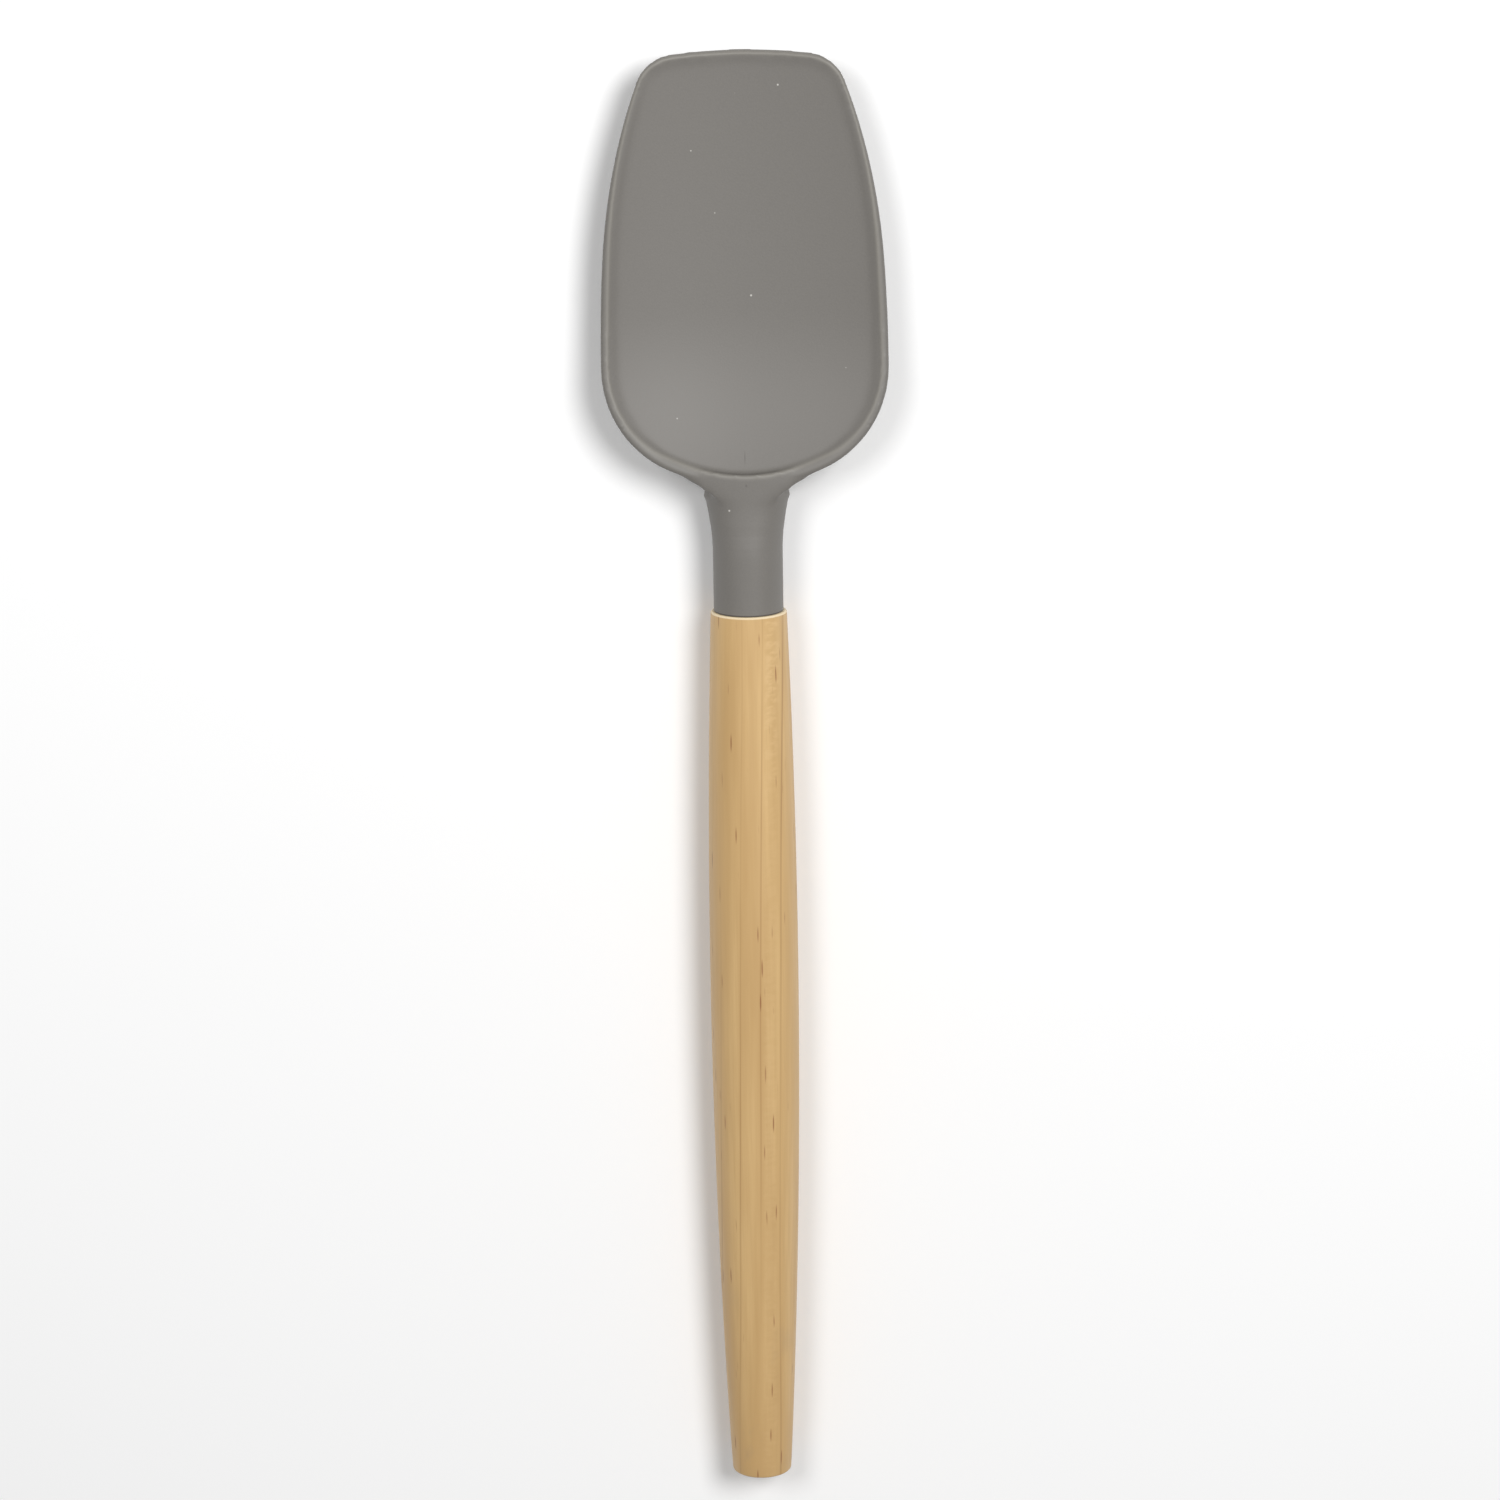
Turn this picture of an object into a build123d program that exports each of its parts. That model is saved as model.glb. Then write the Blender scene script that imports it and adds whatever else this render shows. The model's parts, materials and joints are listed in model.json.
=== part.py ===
from build123d import *
from math import asin, degrees, hypot, radians, sin, tan
import os

# A spoon-shaped silicone spatula on a turned wooden handle. It lies bowl up, with its head
# towards +Y and the handle's axis level, and the handle's belly touches Z = 0. The origin is
# the bottom centre of the whole object. Reaches along the axis are counted from the joint,
# where the silicone collar meets the wood: forward to the tip, back to the butt. Heights are
# counted from the handle's axis.

# Whole object
handle_length = 196.0
head_reach = 118.2
belly_radius = 9.55
overrun = 5.0
level_share = 0.01

# Bowl seen from above
head_half_width = 30.05
rear_reach = 27.75
rear_radius = 39.3
shoulder_radius = 23.4
side_knot_reach = 75.0
side_rear_radius = 330.0
side_front_radius = 135.0
tip_sagitta = 1.4
tip_corner_radius = 8.5

# Rim round the dished face, narrower at the tip
rim_width = 2.6
tip_rim_width = 1.5
rim_height = 0.5
dish_side_rear_radius = 420.0
dish_side_front_radius = 150.0
dish_corner_radius = 7.3
lip_bevel = 0.8

# Dished face and back: shallow balls behind the bowl's centre, troughs that lift to the tip
# in front of it
bowl_centre_reach = 63.7
dish_depth = 1.6
dish_radius = 88.0
dish_lift_radius = 540.0
back_depth = 6.8
back_radius = 65.0
back_lift_radius = 245.0

# Neck: collar at the wood, a keel that sinks into the bowl's back, cones that flare it
# sideways and an arched web up to the rim
collar_radius = 7.4
collar_length = 12.0
keel_end_reach = 58.0
keel_end_radius = 5.2
flare_start_reach = 14.0
flare_end_reach = 54.0
flare_start_radius = 7.2
flare_end_radius = 5.3
flare_spread = 6.8
stem_reach = 17.0
web_radius = 12.0
web_height = 6.9
web_arch_radius = 55.0
web_end_reach = 40.0

# Stiff insert
core_height = -3.7
core_radius = 76.5
core_thickness = 1.5
core_rear_reach = 53.0
core_rear_half_width = 17.0
core_half_width = 21.0
core_widest_reach = 80.0
core_front_reach = 86.0
core_front_half_width = 18.0
core_corner_radius = 4.0
core_skin = 1.0
core_taper_reach = 20.0
core_nose_reach = 57.0
core_nose_radius = 3.9
key_hole_radius = 2.4
key_hole_pitch = 11.0
key_hole_rows = 3
key_hole_columns = 3
key_hole_middle_reach = 71.0
tang_radius = 4.6
tang_length = 44.0
tang_tip_chamfer = 0.8
groove_width = 1.6
groove_depth = 0.6
groove_pitch = 18.0
groove_count = 2

# Turned handle
mouth_radius = 8.08
mouth_chamfer = 0.3
belly_reach = 80.0
butt_radius = 6.5
butt_round = 0.5
bore_clearance = 0.2
bore_spare_depth = 1.5
drill_point_angle = 59.0
glue_set_back = 1.0

overall_length = handle_length + head_reach
joint_y = handle_length - overall_length / 2
axis_height = belly_radius
deep = 2 * belly_radius
bore_radius = tang_radius + bore_clearance
bore_depth = tang_length + bore_spare_depth
rear_extent = bowl_centre_reach - stem_reach + overrun
front_extent = head_reach - bowl_centre_reach + overrun

plan = Plane(origin=(0, joint_y, axis_height))
side = Plane(origin=(0, joint_y, axis_height), x_dir=(0, 1, 0), z_dir=(1, 0, 0))
handle_axis = Axis((0, joint_y, axis_height), (0, 1, 0))


def across(reach):
    """Upright plane square to the handle's axis: X to the right, Y upwards."""
    return Plane(origin=(0, joint_y + reach, axis_height), x_dir=(1, 0, 0), z_dir=(0, -1, 0))


def all_over(radius, depth, lift_radius):
    """All that lies over a bowl-shaped face: a ball's face behind the bowl's centre, and the
    same section swept up a large arc in front of it."""
    turn = degrees(asin(rear_extent / radius))
    lift_turn = degrees(asin(front_extent / lift_radius))
    with BuildSketch(across(bowl_centre_reach)) as section:
        with BuildLine():
            face = CenterArc((0, radius - depth), radius, -90 - turn, 2 * turn)
            Polyline(face @ 1, (rear_extent, radius / 2), (-rear_extent, radius / 2), face @ 0)
        make_face()
    with BuildPart() as body:
        for arc_radius, arc in ((radius, -turn), (lift_radius, lift_turn)):
            place = (0, joint_y + bowl_centre_reach, axis_height - depth + arc_radius)
            add(section.sketch)
            revolve(axis=Axis(place, (1, 0, 0)), revolution_arc=arc)
    return body.part


def outline(rim, tip_rim, rear_side_radius, front_side_radius, corner_radius):
    """The bowl from above, this far inside its edge: rear arc, shoulders, sides of two arcs
    each and a slightly bowed tip."""
    turn = asin((head_half_width - shoulder_radius) / (rear_radius - shoulder_radius))
    tip_reach = head_reach - tip_rim
    with BuildSketch() as shape:
        with BuildLine():
            rear = JernArc((0, rear_reach + rim), (1, 0), rear_radius - rim, degrees(turn))
            shoulder = JernArc(rear @ 1, rear % 1, shoulder_radius - rim, 90 - degrees(turn))
            knot_turn = asin((side_knot_reach - (shoulder @ 1).Y) / rear_side_radius)
            side_rear = JernArc(shoulder @ 1, (0, 1), rear_side_radius, degrees(knot_turn))
            side_run = tip_reach - tip_sagitta - side_knot_reach
            side_turn = asin(sin(knot_turn) + side_run / front_side_radius) - knot_turn
            side_front = JernArc(side_rear @ 1, side_rear % 1, front_side_radius, degrees(side_turn))
            corner = side_front @ 1
            mirror(about=Plane.YZ)
            ThreePointArc(corner, (0, tip_reach), (-corner.X, corner.Y))
        make_face()
        fillet(shape.vertices().group_by(Axis.Y)[-1], radius=corner_radius)
    return shape.sketch


def is_upright(face):
    """Whether a face stands along Z."""
    return abs(face.normal_at().Z) < level_share


def level_edges(face):
    """The edges of an upright face that don't run along Z."""
    return face.edges().filter_by(lambda edge: abs((edge % 0.5).Z) < 1 - level_share)


bowl_outline = outline(0, 0, side_rear_radius, side_front_radius, tip_corner_radius)
over_back = all_over(back_radius, back_depth, back_lift_radius)

# Room over the dished face, inside the rim
with BuildPart() as dish_room:
    with BuildSketch(plan):
        add(
            outline(
                rim_width,
                tip_rim_width,
                dish_side_rear_radius,
                dish_side_front_radius,
                dish_corner_radius,
            )
        )
    extrude(amount=deep, both=True)
    add(all_over(dish_radius, dish_depth, dish_lift_radius), mode=Mode.INTERSECT)

# Bowl: its outline between the rim's face and the back, bevelled at both edges
with BuildPart() as bowl:
    with BuildSketch(plan):
        add(bowl_outline)
    extrude(amount=deep, both=True)
    add(over_back, mode=Mode.INTERSECT)
    add(all_over(dish_radius, dish_depth - rim_height, dish_lift_radius), mode=Mode.SUBTRACT)
    rims = [level_edges(wall) for wall in bowl.faces().filter_by(is_upright)]
    chamfer([edge for rim in rims for edge in rim], length=lip_bevel)

# Web: an arch that flares the neck's top into the rear rim
with BuildPart() as web:
    with BuildSketch(across(stem_reach)):
        with Locations((0, web_height - web_arch_radius)):
            Circle(web_arch_radius)
    extrude(amount=stem_reach - web_end_reach)
    with BuildSketch(plan) as flare:
        add(bowl_outline)
        with Locations((0, (stem_reach + web_end_reach) / 2)):
            Rectangle(2 * collar_radius, web_end_reach - stem_reach)
        fillet(flare.vertices().group_by(Axis.Y)[1], radius=web_radius)
    extrude(amount=deep, both=True, mode=Mode.INTERSECT)
    add(over_back, mode=Mode.INTERSECT)

# Neck: collar and keel in one turning, and a slender cone to each side of it
with BuildPart() as neck:
    with BuildSketch(side):
        with BuildLine():
            Polyline(
                (0, 0),
                (0, collar_radius),
                (collar_length, collar_radius),
                (keel_end_reach, keel_end_radius),
                (keel_end_reach, 0),
                close=True,
            )
        make_face()
    revolve(axis=handle_axis)
    for spread in (flare_spread, -flare_spread):
        run = flare_end_reach - flare_start_reach
        cone_plane = Plane(
            origin=(0, joint_y + flare_start_reach, axis_height), x_dir=(run, -spread, 0)
        )
        cone_length = hypot(run, spread)
        with BuildSketch(cone_plane):
            Polygon(
                (0, 0),
                (flare_start_radius, 0),
                (flare_end_radius, cone_length),
                (0, cone_length),
                align=None,
            )
        revolve(axis=Axis(cone_plane.origin, cone_plane.y_dir))

# Insert's plate: bent like the bowl, rounded at its corners and holed for the silicone
core_turn = degrees(asin(head_half_width / core_radius))
with BuildPart() as core_plate:
    with BuildSketch(across(core_rear_reach)):
        with BuildLine():
            middle = (0, core_height + core_radius)
            upper = CenterArc(middle, core_radius - core_thickness / 2, -90 - core_turn, 2 * core_turn)
            lower = CenterArc(middle, core_radius + core_thickness / 2, -90 - core_turn, 2 * core_turn)
            Line(upper @ 0, lower @ 0)
            Line(upper @ 1, lower @ 1)
        make_face()
    extrude(amount=core_rear_reach - core_front_reach)
    with BuildSketch(plan) as plate_outline:
        with BuildLine():
            Polyline(
                (0, core_rear_reach),
                (core_rear_half_width, core_rear_reach),
                (core_half_width, bowl_centre_reach),
                (core_half_width, core_widest_reach),
                (core_front_half_width, core_front_reach),
                (0, core_front_reach),
            )
            mirror(about=Plane.YZ)
        make_face()
        ends = plate_outline.vertices().group_by(Axis.Y)
        fillet(ends[0] + ends[-1], radius=core_corner_radius)
        with Locations((0, key_hole_middle_reach)):
            with GridLocations(key_hole_pitch, key_hole_pitch, key_hole_columns, key_hole_rows):
                Circle(key_hole_radius, mode=Mode.SUBTRACT)
    extrude(amount=deep, both=True, mode=Mode.INTERSECT)

# Stiff insert: a tang with grooves for the glue, a rod that thins out under the dish, and
# the plate
with BuildPart() as nylon_core:
    with BuildSketch(side):
        with BuildLine():
            Polyline(
                (-tang_length, 0),
                (-tang_length, tang_radius - tang_tip_chamfer),
                (tang_tip_chamfer - tang_length, tang_radius),
                (core_taper_reach, tang_radius),
                (core_nose_reach, core_nose_radius),
                (core_nose_reach, 0),
                close=True,
            )
        make_face()
        with Locations((-tang_length / 2, tang_radius)):
            with GridLocations(groove_pitch, 2 * groove_depth, groove_count, 1):
                Rectangle(groove_width, 2 * groove_depth, mode=Mode.SUBTRACT)
    revolve(axis=handle_axis)
    add(dish_room.part.moved(Location((0, 0, -core_skin))), mode=Mode.SUBTRACT)
    add(core_plate.part)

# Head: bowl, web and neck in one moulding, cleared over the dish, round the insert
with BuildPart() as silicone_head:
    add(bowl.part)
    add(web.part)
    add(neck.part)
    add(dish_room.part, mode=Mode.SUBTRACT)
    add(nylon_core.part, mode=Mode.SUBTRACT)

# Handle: barrel-shaped turning with a chamfered mouth, a flat butt and a drilled blind bore
with BuildPart() as wood_handle:
    with BuildSketch(side) as profile:
        with BuildLine():
            front_rise = belly_radius - mouth_radius
            front_radius = (belly_reach**2 + front_rise**2) / (2 * front_rise)
            rear_fall = belly_radius - butt_radius
            rear_run = handle_length - belly_reach
            back_arc_radius = (rear_run**2 + rear_fall**2) / (2 * rear_fall)
            belly = (-belly_reach, belly_radius)
            front = JernArc(belly, (1, 0), front_radius, -degrees(asin(belly_reach / front_radius)))
            rear = JernArc(belly, (-1, 0), back_arc_radius, degrees(asin(rear_run / back_arc_radius)))
            Polyline(front @ 1, (0, 0), (-handle_length, 0), rear @ 1)
        make_face()
        stations = profile.vertices().group_by(Axis.X)
        fillet(stations[0].sort_by(Axis.Y)[-1], radius=butt_round)
        chamfer(stations[-1].sort_by(Axis.Y)[-1], length=mouth_chamfer)
    revolve(axis=handle_axis)
    with BuildSketch(side):
        with BuildLine():
            Polyline(
                (0, 0),
                (0, bore_radius),
                (-bore_depth, bore_radius),
                (-bore_depth - bore_radius / tan(radians(drill_point_angle)), 0),
                close=True,
            )
        make_face()
    revolve(axis=handle_axis, mode=Mode.SUBTRACT)

# Cured glue: fills the bore round the tang, its grooves and the spare depth behind it
with BuildPart() as glue_bond:
    with BuildSketch(side):
        with Locations((-(glue_set_back + bore_depth) / 2, bore_radius / 2)):
            Rectangle(bore_depth - glue_set_back, bore_radius)
    revolve(axis=handle_axis)
    add(nylon_core.part, mode=Mode.SUBTRACT)

silicone_head.part.label = "silicone_head"
nylon_core.part.label = "nylon_core"
wood_handle.part.label = "wood_handle"
glue_bond.part.label = "glue_bond"

os.makedirs("parts", exist_ok=True)
export_step(silicone_head.part, "parts/silicone_head.step")
export_step(nylon_core.part, "parts/nylon_core.step")
export_step(wood_handle.part, "parts/wood_handle.step")
export_step(glue_bond.part, "parts/glue_bond.step")
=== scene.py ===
import bpy
import json
from math import atan2, cos, exp, hypot, pi, radians, sin
from mathutils import Matrix, Vector

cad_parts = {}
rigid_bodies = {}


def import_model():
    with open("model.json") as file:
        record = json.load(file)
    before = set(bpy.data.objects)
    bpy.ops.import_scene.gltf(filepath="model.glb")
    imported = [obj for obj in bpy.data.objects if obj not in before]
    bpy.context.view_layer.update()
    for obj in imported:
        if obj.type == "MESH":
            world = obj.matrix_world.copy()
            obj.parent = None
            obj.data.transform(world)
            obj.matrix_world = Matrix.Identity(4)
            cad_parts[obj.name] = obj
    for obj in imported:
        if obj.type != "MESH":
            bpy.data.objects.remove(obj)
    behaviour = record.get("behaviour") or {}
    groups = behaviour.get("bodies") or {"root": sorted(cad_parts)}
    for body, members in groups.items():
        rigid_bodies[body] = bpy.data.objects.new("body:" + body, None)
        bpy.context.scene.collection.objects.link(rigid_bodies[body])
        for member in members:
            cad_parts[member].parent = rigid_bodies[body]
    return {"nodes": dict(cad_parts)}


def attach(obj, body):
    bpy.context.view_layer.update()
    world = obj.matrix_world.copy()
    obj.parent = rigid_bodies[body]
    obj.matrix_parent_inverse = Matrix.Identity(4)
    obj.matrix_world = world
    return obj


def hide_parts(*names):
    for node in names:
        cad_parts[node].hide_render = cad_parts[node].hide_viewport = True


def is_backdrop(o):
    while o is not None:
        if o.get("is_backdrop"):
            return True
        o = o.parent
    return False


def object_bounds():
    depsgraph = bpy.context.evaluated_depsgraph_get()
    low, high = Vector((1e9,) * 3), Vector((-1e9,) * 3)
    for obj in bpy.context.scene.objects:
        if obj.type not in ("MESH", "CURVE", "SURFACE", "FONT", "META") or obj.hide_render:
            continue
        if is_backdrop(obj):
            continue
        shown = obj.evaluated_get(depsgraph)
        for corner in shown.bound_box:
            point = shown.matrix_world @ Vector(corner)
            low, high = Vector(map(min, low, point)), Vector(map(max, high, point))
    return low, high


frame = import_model()
cad_low, cad_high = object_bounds()
scene = bpy.context.scene

# Handle: a bar of pale, straight-grained hardwood, turned to a barrel, sanded and oiled. Its
# mouth is lightly chamfered round a drilled bore for the insert's tang, and its butt is cut
# flat with the edge just broken.
joint_y = 0.0389
axis_height = 0.00955
handle_length = 0.196
belly_reach = 0.080
belly_radius = 0.00955
mouth_radius = 0.00808
mouth_chamfer = 0.0003
butt_radius = 0.0065
butt_round = 0.0005
bore_radius = 0.0048
bore_depth = 0.0455
ring_pitch = 0.004
round_steps = 5
sides = 128
edge_angle = 25


def turned_radius(reach):
    """The handle's radius this far behind the joint: one arc to each side of the belly."""
    run = belly_reach if reach < belly_reach else handle_length - belly_reach
    end_radius = mouth_radius if reach < belly_reach else butt_radius
    return belly_radius - (belly_radius - end_radius) * ((reach - belly_reach) / run) ** 2


bpy.ops.object.select_all(action="DESELECT")
bpy.ops.mesh.primitive_circle_add(
    vertices=sides,
    radius=bore_radius,
    fill_type="NGON",
    location=(0, joint_y - bore_depth, axis_height),
    rotation=(pi / 2, 0, 0),
)
handle = bpy.context.object
handle.name = "turned_handle"
bpy.ops.object.mode_set(mode="EDIT")
bpy.ops.mesh.select_all(action="SELECT")

# The outline is drawn as rings: along the bore, over the mouth, down the barrel to the butt.
rings = [(0, bore_radius), (0, mouth_radius - mouth_chamfer)]
reach = mouth_chamfer
while reach < handle_length - butt_round:
    rings.append((reach, turned_radius(reach)))
    reach += ring_pitch
for step in range(round_steps + 1):
    turn = pi / 2 * step / round_steps
    rings.append(
        (
            handle_length - butt_round * (1 - sin(turn)),
            turned_radius(handle_length) - butt_round * (1 - cos(turn)),
        )
    )
here = (bore_depth, bore_radius)
for ring_reach, ring_radius in rings:
    bpy.ops.mesh.extrude_region_move(
        TRANSFORM_OT_translate={"value": (0, here[0] - ring_reach, 0)}
    )
    grow = ring_radius / here[1]
    bpy.ops.transform.resize(
        value=(grow, 1, grow), center_override=(0, joint_y - ring_reach, axis_height)
    )
    here = (ring_reach, ring_radius)
bpy.ops.mesh.select_all(action="SELECT")
bpy.ops.mesh.normals_make_consistent(inside=False)
bpy.ops.object.mode_set(mode="OBJECT")
bpy.ops.object.transform_apply(location=True, rotation=True, scale=True)
bpy.ops.object.shade_smooth_by_angle(angle=radians(edge_angle))

wood = bpy.data.materials.new("oiled_hardwood")
wood.use_nodes = True
nodes = wood.node_tree.nodes
links = wood.node_tree.links
surface = nodes["Principled BSDF"]


def add_node(kind, **settings):
    """A node of the material in hand with these settings."""
    node = nodes.new(kind)
    for name, value in settings.items():
        setattr(node, name, value)
    return node


def add_maths(operation, first, second=None):
    """A sum on two values or sockets of the material in hand."""
    node = add_node("ShaderNodeMath", operation=operation)
    for socket, value in zip(node.inputs, (first, second)):
        if value is None:
            continue
        if isinstance(value, (int, float)):
            socket.default_value = value
        else:
            links.new(value, socket)
    return node.outputs[0]


def add_noise(stretch, scale, detail, roughness=0.5):
    """Noise as a value from 0 to 1, drawn out along the handle where the stretch is small."""
    mapping = add_node("ShaderNodeMapping")
    mapping.inputs["Scale"].default_value = (1, stretch, 1)
    links.new(place.outputs["Object"], mapping.inputs["Vector"])
    noise = add_node("ShaderNodeTexNoise")
    noise.inputs["Scale"].default_value = scale
    noise.inputs["Detail"].default_value = detail
    noise.inputs["Roughness"].default_value = roughness
    links.new(mapping.outputs["Vector"], noise.inputs["Vector"])
    return noise.outputs["Fac"]


def add_range(value, start, end, first, last):
    """The value taken from start and end to first and last, and held there."""
    node = add_node("ShaderNodeMapRange")
    links.new(value, node.inputs["Value"])
    node.inputs["From Min"].default_value = start
    node.inputs["From Max"].default_value = end
    node.inputs["To Min"].default_value = first
    node.inputs["To Max"].default_value = last
    return node.outputs["Result"]


def add_mix(share, first, second):
    """A blend of two colours by this share."""
    node = add_node("ShaderNodeMix", data_type="RGBA")
    links.new(share, node.inputs[0])
    for socket, colour in ((node.inputs[6], first), (node.inputs[7], second)):
        if isinstance(colour, tuple):
            socket.default_value = colour
        else:
            links.new(colour, socket)
    return node.outputs[2]


def add_bump(height, strength, distance):
    """Raises the skin of the material in hand by this height."""
    bump = add_node("ShaderNodeBump")
    bump.inputs["Strength"].default_value = strength
    bump.inputs["Distance"].default_value = distance
    links.new(height, bump.inputs["Height"])
    links.new(bump.outputs["Normal"], surface.inputs["Normal"])


place = add_node("ShaderNodeTexCoord")
axes = add_node("ShaderNodeSeparateXYZ")
links.new(place.outputs["Object"], axes.inputs[0])

pale_wood = (0.640, 0.425, 0.190, 1)
warm_wood = (0.545, 0.345, 0.145, 1)
dark_wood = (0.400, 0.225, 0.085, 1)
pore_brown = (0.300, 0.130, 0.050, 1)
# paler wood for the painted highlight stripe, with the wood's ripple figure in it
highlight_and_ripple_wood = (0.720, 0.500, 0.250, 1)
smudge_grey = (0.380, 0.270, 0.160, 1)
# pale fresh wood with painted highlight, for the mouth's chamfer
fresh_wood_and_highlight = (0.900, 0.760, 0.520, 1)

# Broad tone, then fine streaks along the grain
tone_noise = add_noise(stretch=0.06, scale=260, detail=3)
tone = add_range(tone_noise, start=0.35, end=0.65, first=0, last=1)
colour = add_mix(tone, pale_wood, warm_wood)
streak_noise = add_noise(stretch=0.018, scale=1500, detail=4, roughness=0.65)
streaks = add_range(streak_noise, start=0.38, end=0.68, first=0, last=0.55)
colour = add_mix(streaks, colour, warm_wood)

# Growth lines: thin brown lines along the grain, in patches
growth_line_pitch = 0.0043
growth_line_place = 0.0021
growth_line_drift = -0.016
growth_line_width = 0.00022
growth_line_wander = 0.0009
drift = add_maths("MULTIPLY", axes.outputs["Y"], growth_line_drift)
wander_noise = add_noise(stretch=0.05, scale=120, detail=2)
wander = add_range(wander_noise, start=0, end=1, first=-growth_line_wander, last=growth_line_wander)
line_run = add_maths("ADD", add_maths("ADD", axes.outputs["X"], drift), wander)
line_run = add_maths("SUBTRACT", line_run, growth_line_place)
from_line = add_maths("PINGPONG", line_run, growth_line_pitch / 2)
growth_line = add_range(from_line, start=0, end=growth_line_width, first=0.9, last=0)
patch_noise = add_noise(stretch=0.03, scale=170, detail=2)
line_patch = add_range(patch_noise, start=0.40, end=0.62, first=0, last=1)
colour = add_mix(add_maths("MULTIPLY", growth_line, line_patch), colour, dark_wood)

# Painted highlight: a lighter stripe beside the line on the top side stands in for the lamp's
# sheen. The wood's fine cross ripples lie in it, and it fades down from the mouth
stripe_middle = 0.0042
stripe_half_width = 0.0019
stripe_edge = 0.002
ripple_full = 0.012
ripple_end = 0.045
from_middle = add_maths("SUBTRACT", line_run, stripe_middle - growth_line_place)
off_stripe = add_maths("ABSOLUTE", from_middle)
highlight_stripe = add_range(off_stripe, start=stripe_half_width / 2, end=stripe_half_width, first=1, last=0)
lit_top_side = add_range(
    axes.outputs["Z"], start=axis_height, end=axis_height + stripe_edge, first=0, last=1
)
highlight_stripe = add_maths("MULTIPLY", highlight_stripe, lit_top_side)
ripple_noise = add_noise(stretch=2.2, scale=420, detail=3)
ripple = add_range(ripple_noise, start=0.42, end=0.62, first=0.15, last=0.60)
from_mouth = add_range(
    axes.outputs["Y"], start=joint_y - ripple_end, end=joint_y - ripple_full, first=0.25, last=1
)
ripple = add_maths("MULTIPLY", ripple, from_mouth)
colour = add_mix(add_maths("MULTIPLY", highlight_stripe, ripple), colour, highlight_and_ripple_wood)

# Pores: short reddish-brown dashes along the grain
pore_stretch = 0.09
pore_count = 780
pore_map = add_node("ShaderNodeMapping")
pore_map.inputs["Scale"].default_value = (1, pore_stretch, 1)
links.new(place.outputs["Object"], pore_map.inputs["Vector"])
pores = add_node("ShaderNodeTexVoronoi", distance="EUCLIDEAN")
pores.inputs["Scale"].default_value = pore_count
links.new(pore_map.outputs["Vector"], pores.inputs["Vector"])
pore_dash = add_range(pores.outputs["Distance"], start=0.08, end=0.17, first=0.85, last=0)
pore_noise = add_noise(stretch=0.12, scale=500, detail=2)
pore_patch = add_range(pore_noise, start=0.46, end=0.56, first=0, last=1)
pore_mask = add_maths("MULTIPLY", pore_dash, pore_patch)
colour = add_mix(pore_mask, colour, pore_brown)

# Faint grey smudges from handling near the butt
smudge_end = -0.105
smudge_full = -0.145
smudge_noise = add_noise(stretch=0.5, scale=150, detail=3)
smudge = add_range(smudge_noise, start=0.58, end=0.72, first=0, last=0.35)
near_butt = add_range(axes.outputs["Y"], start=smudge_full, end=smudge_end, first=1, last=0)
colour = add_mix(add_maths("MULTIPLY", smudge, near_butt), colour, smudge_grey)

# Painted shade and highlight: the butt's broken edge is painted darker for the shade on its
# rounding. The mouth's chamfer is painted paler, partly fresh wood and partly painted highlight
# where it catches the light
butt_y = joint_y - handle_length
butt_shade_band = (0.00005, 0.00065)
mouth_highlight_band = (0.00042, 0.00028)
butt_edge_shade = add_range(
    axes.outputs["Y"], start=butt_y + butt_shade_band[0], end=butt_y + butt_shade_band[1], first=0.45, last=0
)
colour = add_mix(butt_edge_shade, colour, warm_wood)
mouth_edge_highlight = add_range(
    axes.outputs["Y"], start=joint_y - mouth_highlight_band[0], end=joint_y - mouth_highlight_band[1], first=0, last=0.8
)
colour = add_mix(mouth_edge_highlight, colour, fresh_wood_and_highlight)
links.new(colour, surface.inputs["Base Color"])

oil_noise = add_noise(stretch=0.03, scale=900, detail=3)
wood_rough = add_range(oil_noise, start=0.3, end=0.7, first=0.40, last=0.54)
links.new(wood_rough, surface.inputs["Roughness"])
streak_relief = 0.4
relief = add_maths("SUBTRACT", add_maths("MULTIPLY", streaks, streak_relief), pore_mask)
add_bump(relief, strength=0.25, distance=0.0001)
handle.data.materials.append(wood)
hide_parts("wood_handle")
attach(handle, "root")

# Head: a dished blade of grey silicone rubber, moulded in one with its neck and collar round
# the stiff insert. The mould leaves a matte skin, a rounded rim, a faint crease inside the
# rear rim and a tiny gate pit on the neck.
merge_distance = 0.000002
skin_step = 0.00042
skin_smoothing = 8
neck_smoothing = 110
rim_smoothing = 45
smoothing_share = 0.5
seam_cut = 0.00003
collar_cut = 0.0014
seam_gap = 0.00012
collar_edge_angle = 50

# The neck: the reach from the joint at which its smoothing starts, is full, still holds and
# ends, on the top and on the underside, and its half width at each reach
neck_blend = (0.005, 0.010, 0.0268, 0.0292)
belly_blend = (0.005, 0.010, 0.034, 0.044)
neck_outline = [
    (0.0000, 0.00740),
    (0.0141, 0.00741),
    (0.0173, 0.00762),
    (0.0195, 0.00793),
    (0.0216, 0.00824),
    (0.0238, 0.00868),
    (0.0248, 0.00905),
]
outline_end = 0.0275
round_neck = (0.014, 0.024)
slice_length = 0.0005

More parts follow.
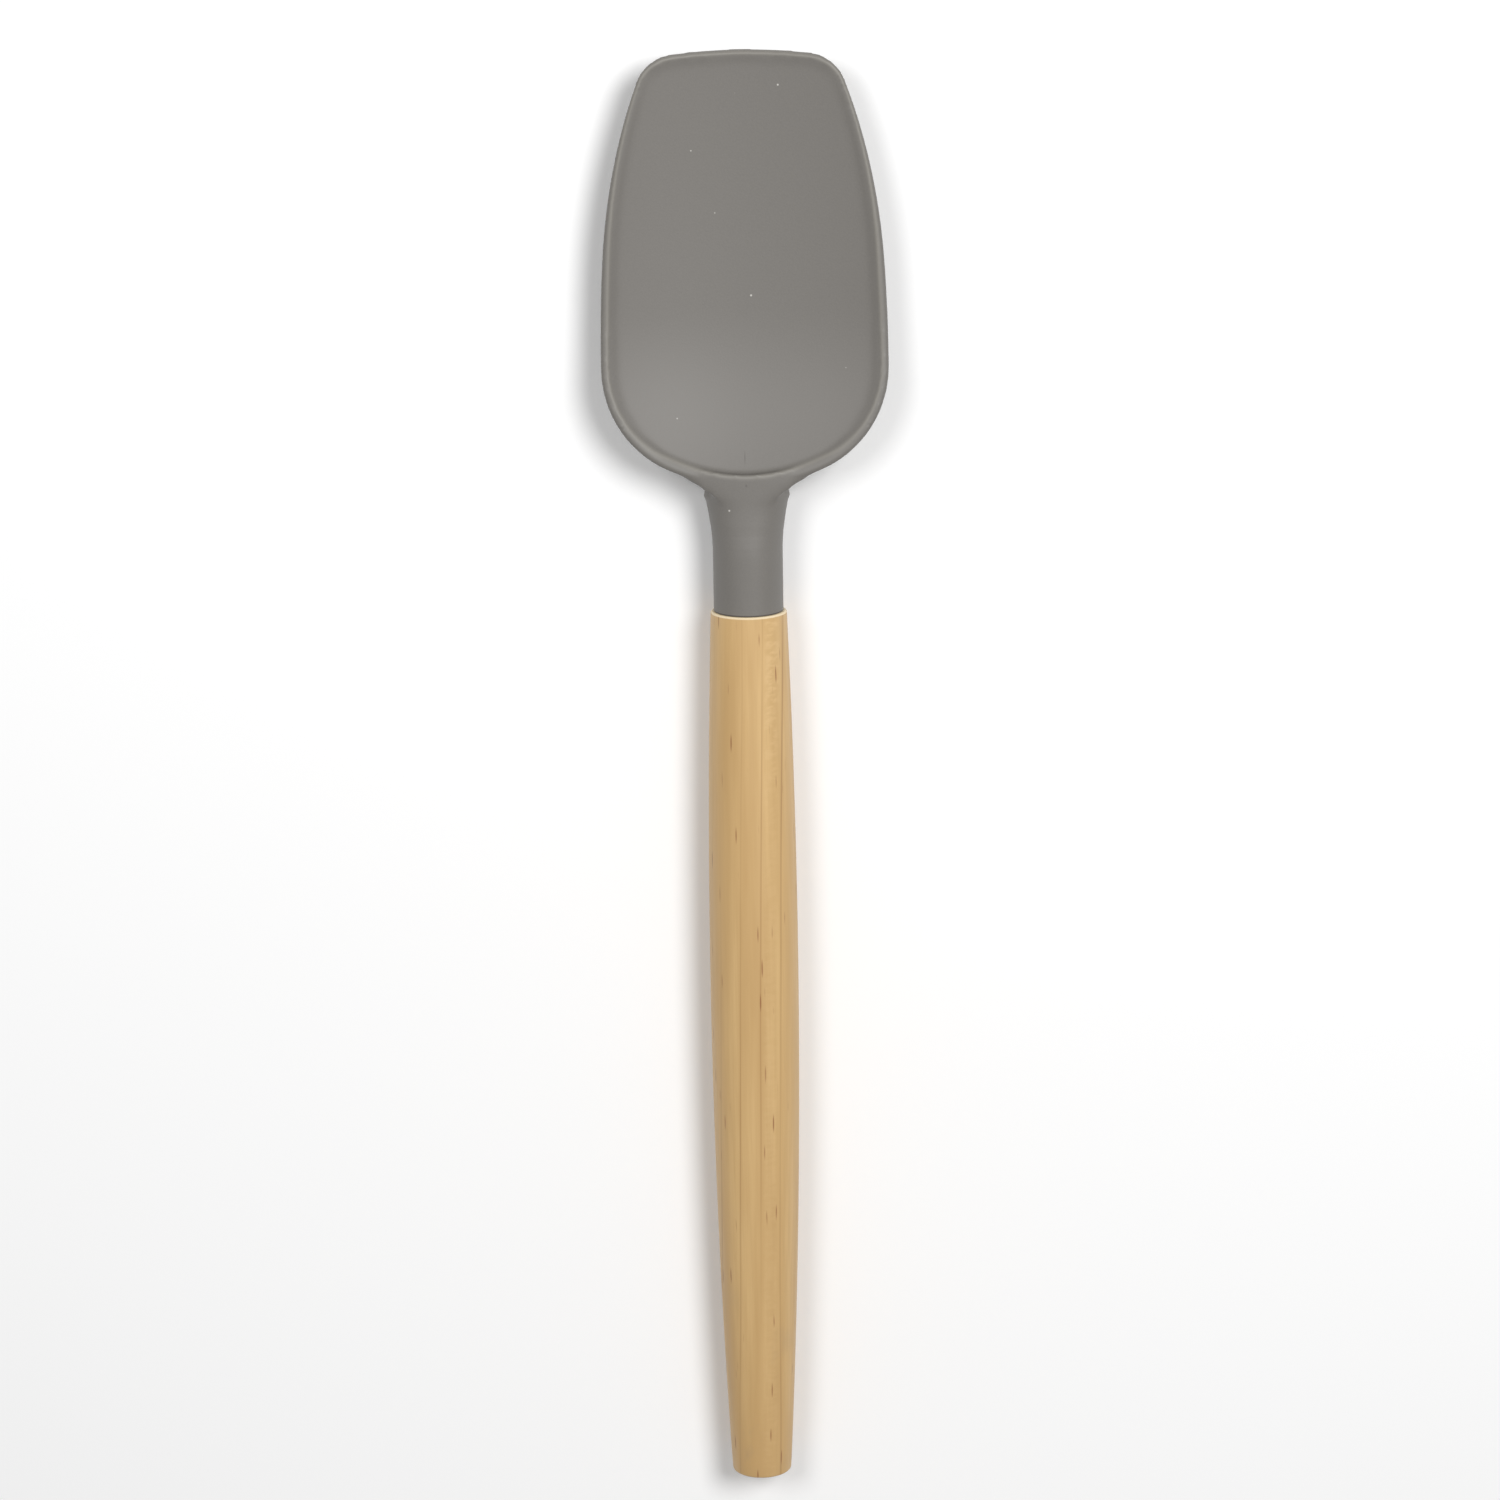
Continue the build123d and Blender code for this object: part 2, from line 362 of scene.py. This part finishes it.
# The rim: where its crest runs and how high and wide it is, and the ranges over which one
# rule gives way to the next
bowl_centre = 0.071
rear_crest = 0.0298
rear_crest_radius = 0.032
crest_height = 0.00016
crest_spread = 0.00042
crest_inset = [(0.030, 0.0020), (0.052, 0.0017), (0.080, 0.0012), (0.100, 0.0008), (0.118, 0.0007)]
rear_hold = (0.034, 0.042)
rear_to_side = (0.015, 0.021)
rear_end = (0.040, 0.048)
foot_blend = (-0.0007, 0.0002)
facing_up = (0.15, 0.35)
top_facing = 0.2
crest_end = 3


def ramp(value, low, high):
    """A soft step from 0 at the low end to 1 at the high end."""
    share = min(max((value - low) / (high - low), 0), 1)
    return share * share * (3 - 2 * share)


def along(table, value):
    """The table's width at this reach, in straight runs between its rows."""
    for (low, first), (high, second) in zip(table, table[1:]):
        if value <= high:
            return first + (second - first) * max(value - low, 0) / (high - low)
    return table[-1][1]


def soften_part(piece, name, shares, iterations):
    """Smooths the part of the skin that these shares, one for each vertex, pick out."""
    group = piece.vertex_groups.new(name=name)
    for index, share in enumerate(shares):
        if share > 0:
            group.add([index], share, "REPLACE")
    smooth = piece.modifiers.new(name, "SMOOTH")
    smooth.factor = smoothing_share
    smooth.iterations = iterations
    smooth.vertex_group = name
    bpy.ops.object.modifier_apply(modifier=name)
    piece.vertex_groups.remove(piece.vertex_groups[name])


bpy.ops.object.select_all(action="DESELECT")
cad_head = frame["nodes"]["silicone_head"]
head_mesh = cad_head.data.copy()
head = bpy.data.objects.new("moulded_head", head_mesh)
scene.collection.objects.link(head)
bpy.context.view_layer.objects.active = head
head.select_set(True)
bpy.ops.object.mode_set(mode="EDIT")
bpy.ops.mesh.select_all(action="SELECT")
bpy.ops.mesh.remove_doubles(threshold=merge_distance)
bpy.ops.mesh.bisect(
    plane_co=(0, joint_y + seam_cut, 0), plane_no=(0, -1, 0), clear_outer=True, use_fill=False
)
bpy.ops.mesh.select_all(action="DESELECT")
bpy.ops.object.mode_set(mode="OBJECT")

# The hollow for the insert is left out, because the insert fills it: only the outer skin stays.
tip = max(head.data.vertices, key=lambda corner: corner.co.y)
tip.select = True
bpy.ops.object.mode_set(mode="EDIT")
bpy.ops.mesh.select_mode(type="VERT")
bpy.ops.mesh.select_linked()
bpy.ops.mesh.select_all(action="INVERT")
bpy.ops.mesh.delete(type="VERT")
bpy.ops.mesh.select_non_manifold()
bpy.ops.mesh.edge_face_add()
bpy.ops.object.mode_set(mode="OBJECT")

remesh = head.modifiers.new("skin", "REMESH")
remesh.mode = "VOXEL"
remesh.voxel_size = skin_step
remesh.use_smooth_shade = True
soften = head.modifiers.new("soften", "SMOOTH")
soften.factor = smoothing_share
soften.iterations = skin_smoothing
bpy.ops.object.modifier_apply(modifier="skin")
bpy.ops.object.modifier_apply(modifier="soften")

# The neck flows into the blade without a line, and the rim's inner foot is a soft hollow.
shares = []
for corner in head.data.vertices:
    reach = corner.co.y - joint_y
    start, full, hold, end = neck_blend if corner.co.z > axis_height else belly_blend
    shares.append(ramp(reach, start, full) * (1 - ramp(reach, hold, end)))
soften_part(head, "neck", shares, neck_smoothing)

# The rim's crest runs close inside the outline, and crosses the neck at the rear.
outer = {}
for corner in head.data.vertices:
    along_bowl = corner.co.y - joint_y - bowl_centre
    turn = int((atan2(corner.co.x, along_bowl) / pi + 1) * 180)
    outer[turn] = max(outer.get(turn, 0), hypot(corner.co.x, along_bowl))


def inside_crest(spot):
    """How far inside the rim's crest this spot lies, seen from above."""
    along_bowl = spot.y - joint_y - bowl_centre
    turn = (atan2(spot.x, along_bowl) / pi + 1) * 180 - 0.5
    low = int(turn) if turn > 0 else 0
    share = turn - low
    edge = outer[low] * (1 - share) + outer[(low + 1) % 360] * share
    from_side = edge - hypot(spot.x, along_bowl) - along(crest_inset, spot.y - joint_y)
    bow = spot.x / rear_crest_radius
    from_rear = (spot.y - joint_y - rear_crest - bow * spot.x / 2) / hypot(1, bow)
    side_share = max(ramp(abs(spot.x), *rear_to_side), ramp(spot.y - joint_y, *rear_end))
    return from_side * side_share + from_rear * (1 - side_share)


shares = []
for corner in head.data.vertices:
    reach = corner.co.y - joint_y
    share = ramp(corner.normal.z, *facing_up) * ramp(reach, *rear_hold)
    shares.append(share * ramp(inside_crest(corner.co), *foot_blend) if share > 0 else 0)
soften_part(head, "rim", shares, rim_smoothing)

# The crest stands up as a soft ridge, and its share at each vertex is kept for the painted
# highlight along it in the material.
crest = head.data.attributes.new("crest", "FLOAT", "POINT")
top = [corner for corner in head.data.vertices if corner.normal.z > top_facing]
for corner in top:
    offset = inside_crest(corner.co) / crest_spread
    if abs(offset) < crest_end and corner.co.y > joint_y + seam_cut:
        crest.data[corner.index].value = exp(-offset * offset)
        rise = ramp(corner.co.y - joint_y, *rear_hold)
        corner.co.z += crest_height * rise * exp(-offset * offset)

# The neck's sides are drawn out to the outline measured on the real one.
widths = {}
for corner in head.data.vertices:
    piece_slice = int((corner.co.y - joint_y) / slice_length)
    widths[piece_slice] = max(widths.get(piece_slice, 0), abs(corner.co.x))
for corner in head.data.vertices:
    reach = corner.co.y - joint_y
    if 0 < reach < outline_end:
        middle = reach / slice_length - 0.5
        low = int(middle) if middle > 0 else 0
        share = middle - low
        now = widths[low] * (1 - share) + widths[low + 1] * share
        outline_share = 1 - ramp(reach, neck_outline[-1][0], outline_end)
        wanted = now + (along(neck_outline, reach) - now) * outline_share
        grow = wanted / now
        corner.co.x *= grow
        round_share = 1 - ramp(reach, *round_neck)
        corner.co.z = axis_height + (corner.co.z - axis_height) * (1 + (grow - 1) * round_share)

# The collar ends square and sharp, a hair above the handle's mouth.
bpy.ops.object.mode_set(mode="EDIT")
bpy.ops.mesh.select_all(action="SELECT")
bpy.ops.mesh.bisect(
    plane_co=(0, joint_y + collar_cut, 0), plane_no=(0, -1, 0), clear_outer=True, use_fill=False
)
bpy.ops.mesh.select_all(action="DESELECT")
bpy.ops.mesh.select_non_manifold()
bpy.ops.mesh.extrude_region_move(
    TRANSFORM_OT_translate={"value": (0, seam_gap - collar_cut, 0)}
)
bpy.ops.mesh.edge_face_add()
bpy.ops.mesh.select_all(action="SELECT")
bpy.ops.mesh.normals_make_consistent(inside=False)
bpy.ops.object.mode_set(mode="OBJECT")
bpy.ops.object.shade_smooth_by_angle(angle=radians(collar_edge_angle))

silicone = bpy.data.materials.new("grey_silicone")
silicone.use_nodes = True
nodes = silicone.node_tree.nodes
links = silicone.node_tree.links
surface = nodes["Principled BSDF"]
place = add_node("ShaderNodeTexCoord")
axes = add_node("ShaderNodeSeparateXYZ")
links.new(place.outputs["Object"], axes.inputs[0])

silicone_grey = (0.158, 0.149, 0.136, 1)
silicone_light = (0.184, 0.173, 0.158, 1)
dust_white = (0.62, 0.60, 0.56, 1)
# paler grey of the painted highlight on the crest
crest_highlight_grey = (0.260, 0.245, 0.215, 1)
# dark colour of painted shadow and dirt at the seam, and of painted shade in the crease and pit
seam_shade_and_dirt = (0.035, 0.028, 0.022, 1)

# Fine speckle of the matte skin, with a few specks of dust
dust_count = 130
speckle = add_noise(stretch=1, scale=2600, detail=2)
colour = add_mix(speckle, silicone_grey, silicone_light)
dust = add_node("ShaderNodeTexVoronoi")
dust.inputs["Scale"].default_value = dust_count
links.new(place.outputs["Object"], dust.inputs["Vector"])
speck = add_range(dust.outputs["Distance"], start=0.020, end=0.034, first=0.8, last=0)
colour = add_mix(speck, colour, dust_white)

# Painted highlight: the rim's crest is painted paler, standing in for the sheen along its rounded
# top
crest_highlight_strength = 0.55
crest_line = add_node("ShaderNodeAttribute", attribute_name="crest")
crest_highlight_share = add_maths("MULTIPLY", crest_line.outputs["Fac"], crest_highlight_strength)
colour = add_mix(crest_highlight_share, colour, crest_highlight_grey)

# Painted shade and dirt: a dark line of painted shadow and dirt where the collar meets the wood,
# and painted shade in a short crease inside the rear rim and in a tiny gate pit on the neck
seam_band = (0.00022, 0.00040)
seam_darkness = 0.75
mark_darkness = 0.35
marks = {
    "crease": {"middle": (-0.0003, joint_y + 0.0335), "spread": (0.00016, 0.0017)},
    "gate_pit": {"middle": (-0.0001, joint_y + 0.0281), "spread": (0.00028, 0.00034)},
}
shade_and_dirt_share = add_range(
    axes.outputs["Y"],
    start=joint_y + seam_band[0],
    end=joint_y + seam_band[1],
    first=seam_darkness,
    last=0,
)
on_top = add_maths("GREATER_THAN", axes.outputs["Z"], axis_height)
for mark in marks.values():
    squares = []
    for axis in (0, 1):
        gap = add_maths("SUBTRACT", axes.outputs[axis], mark["middle"][axis])
        scaled = add_maths("DIVIDE", gap, mark["spread"][axis])
        squares.append(add_maths("MULTIPLY", scaled, scaled))
    off_mark = add_maths("ADD", squares[0], squares[1])
    dark = add_range(off_mark, start=0, end=1, first=mark_darkness, last=0)
    shade_and_dirt_share = add_maths("MAXIMUM", shade_and_dirt_share, add_maths("MULTIPLY", dark, on_top))
colour = add_mix(shade_and_dirt_share, colour, seam_shade_and_dirt)
links.new(colour, surface.inputs["Base Color"])

silicone_rough = add_range(speckle, start=0, end=1, first=0.47, last=0.57)
links.new(silicone_rough, surface.inputs["Roughness"])
add_bump(speckle, strength=0.35, distance=0.00004)
head.data.materials.clear()
head.data.materials.append(silicone)
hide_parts("silicone_head")
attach(head, "root")

# Insert: one moulding of dark glass-filled nylon inside the silicone and the wood, with holes
# that the silicone fills. None of it shows.
nylon = bpy.data.materials.new("dark_nylon")
nylon.use_nodes = True
nodes = nylon.node_tree.nodes
links = nylon.node_tree.links
surface = nodes["Principled BSDF"]
place = add_node("ShaderNodeTexCoord")
nylon_dark = (0.022, 0.022, 0.024, 1)
nylon_pale = (0.040, 0.040, 0.042, 1)
nylon_grain = add_noise(stretch=1, scale=900, detail=2)
links.new(add_mix(nylon_grain, nylon_dark, nylon_pale), surface.inputs["Base Color"])
surface.inputs["Roughness"].default_value = 0.5
core = frame["nodes"]["nylon_core"]
core.data.materials.clear()
core.data.materials.append(nylon)

# Glue: clear amber adhesive that has cured round the tang in the bore. None of it shows.
adhesive = bpy.data.materials.new("cured_adhesive")
adhesive.use_nodes = True
nodes = adhesive.node_tree.nodes
links = adhesive.node_tree.links
surface = nodes["Principled BSDF"]
place = add_node("ShaderNodeTexCoord")
glue_amber = (0.55, 0.47, 0.28, 1)
glue_pale = (0.70, 0.62, 0.42, 1)
glue_cloud = add_noise(stretch=1, scale=300, detail=2)
links.new(add_mix(glue_cloud, glue_amber, glue_pale), surface.inputs["Base Color"])
surface.inputs["Roughness"].default_value = 0.3
glue = frame["nodes"]["glue_bond"]
glue.data.materials.clear()
glue.data.materials.append(adhesive)

# Table: a sheet of white paper that the spatula lies on.
paper_size = 6
bpy.ops.object.select_all(action="DESELECT")
bpy.ops.mesh.primitive_plane_add(size=paper_size, location=(0, 0, cad_low.z))
table = bpy.context.object
table.name = "paper"
paper = bpy.data.materials.new("white_paper")
paper.use_nodes = True
surface = paper.node_tree.nodes["Principled BSDF"]
surface.inputs["Base Color"].default_value = (0.95, 0.95, 0.95, 1)
surface.inputs["Roughness"].default_value = 0.95
table.data.materials.append(paper)
table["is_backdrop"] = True

# Studio: two round soft lamps above the head's end, the right one larger and stronger, with a
# pale room round them.
room_light = 0.30
view_aim = Vector((-0.0002, 0.0082, 0.00955))
lamps = {
    "right_lamp": {"place": (0.40, 0.42, 1.00), "size": 0.45, "energy": 8.5},
    "left_lamp": {"place": (-0.40, 0.42, 1.00), "size": 0.40, "energy": 3.8},
}
for name, lamp in lamps.items():
    lamp_data = bpy.data.lights.new(name, "AREA")
    lamp_data.shape = "DISK"
    lamp_data.size = lamp["size"]
    lamp_data.energy = lamp["energy"]
    lamp_object = bpy.data.objects.new(name, lamp_data)
    lamp_object.location = lamp["place"]
    lamp_object.rotation_mode = "QUATERNION"
    lamp_object.rotation_quaternion = (Vector(lamp["place"]) - view_aim).to_track_quat("Z", "Y")
    scene.collection.objects.link(lamp_object)
room = bpy.data.worlds.new("studio")
scene.world = room
room.use_nodes = True
room.node_tree.nodes["Background"].inputs["Color"].default_value = (1, 1, 1, 1)
room.node_tree.nodes["Background"].inputs["Strength"].default_value = room_light

# Camera: a long lens above the spatula, leaning from square towards the head, with the head
# at the top of the picture and the spatula turned by less than a degree.
view_lean = radians(14.3)
view_roll = radians(0.91)
view_distance = 0.936
back = Vector((0, sin(view_lean), cos(view_lean)))
level_up = Vector((0, cos(view_lean), -sin(view_lean)))
level_right = Vector((1, 0, 0))
right = level_right * cos(view_roll) - level_up * sin(view_roll)
up = level_up * cos(view_roll) + level_right * sin(view_roll)
camera_data = bpy.data.cameras.new("camera")
camera_data.lens = 104.9
camera_data.sensor_width = 36
camera_data.clip_start = 0.05
camera_data.clip_end = 20
camera = bpy.data.objects.new("camera", camera_data)
camera.matrix_world = (
    Matrix.Translation(view_aim + back * view_distance)
    @ Matrix((right, up, back)).transposed().to_4x4()
)
scene.collection.objects.link(camera)
scene.camera = camera
scene.view_settings.view_transform = "Standard"

low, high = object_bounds()
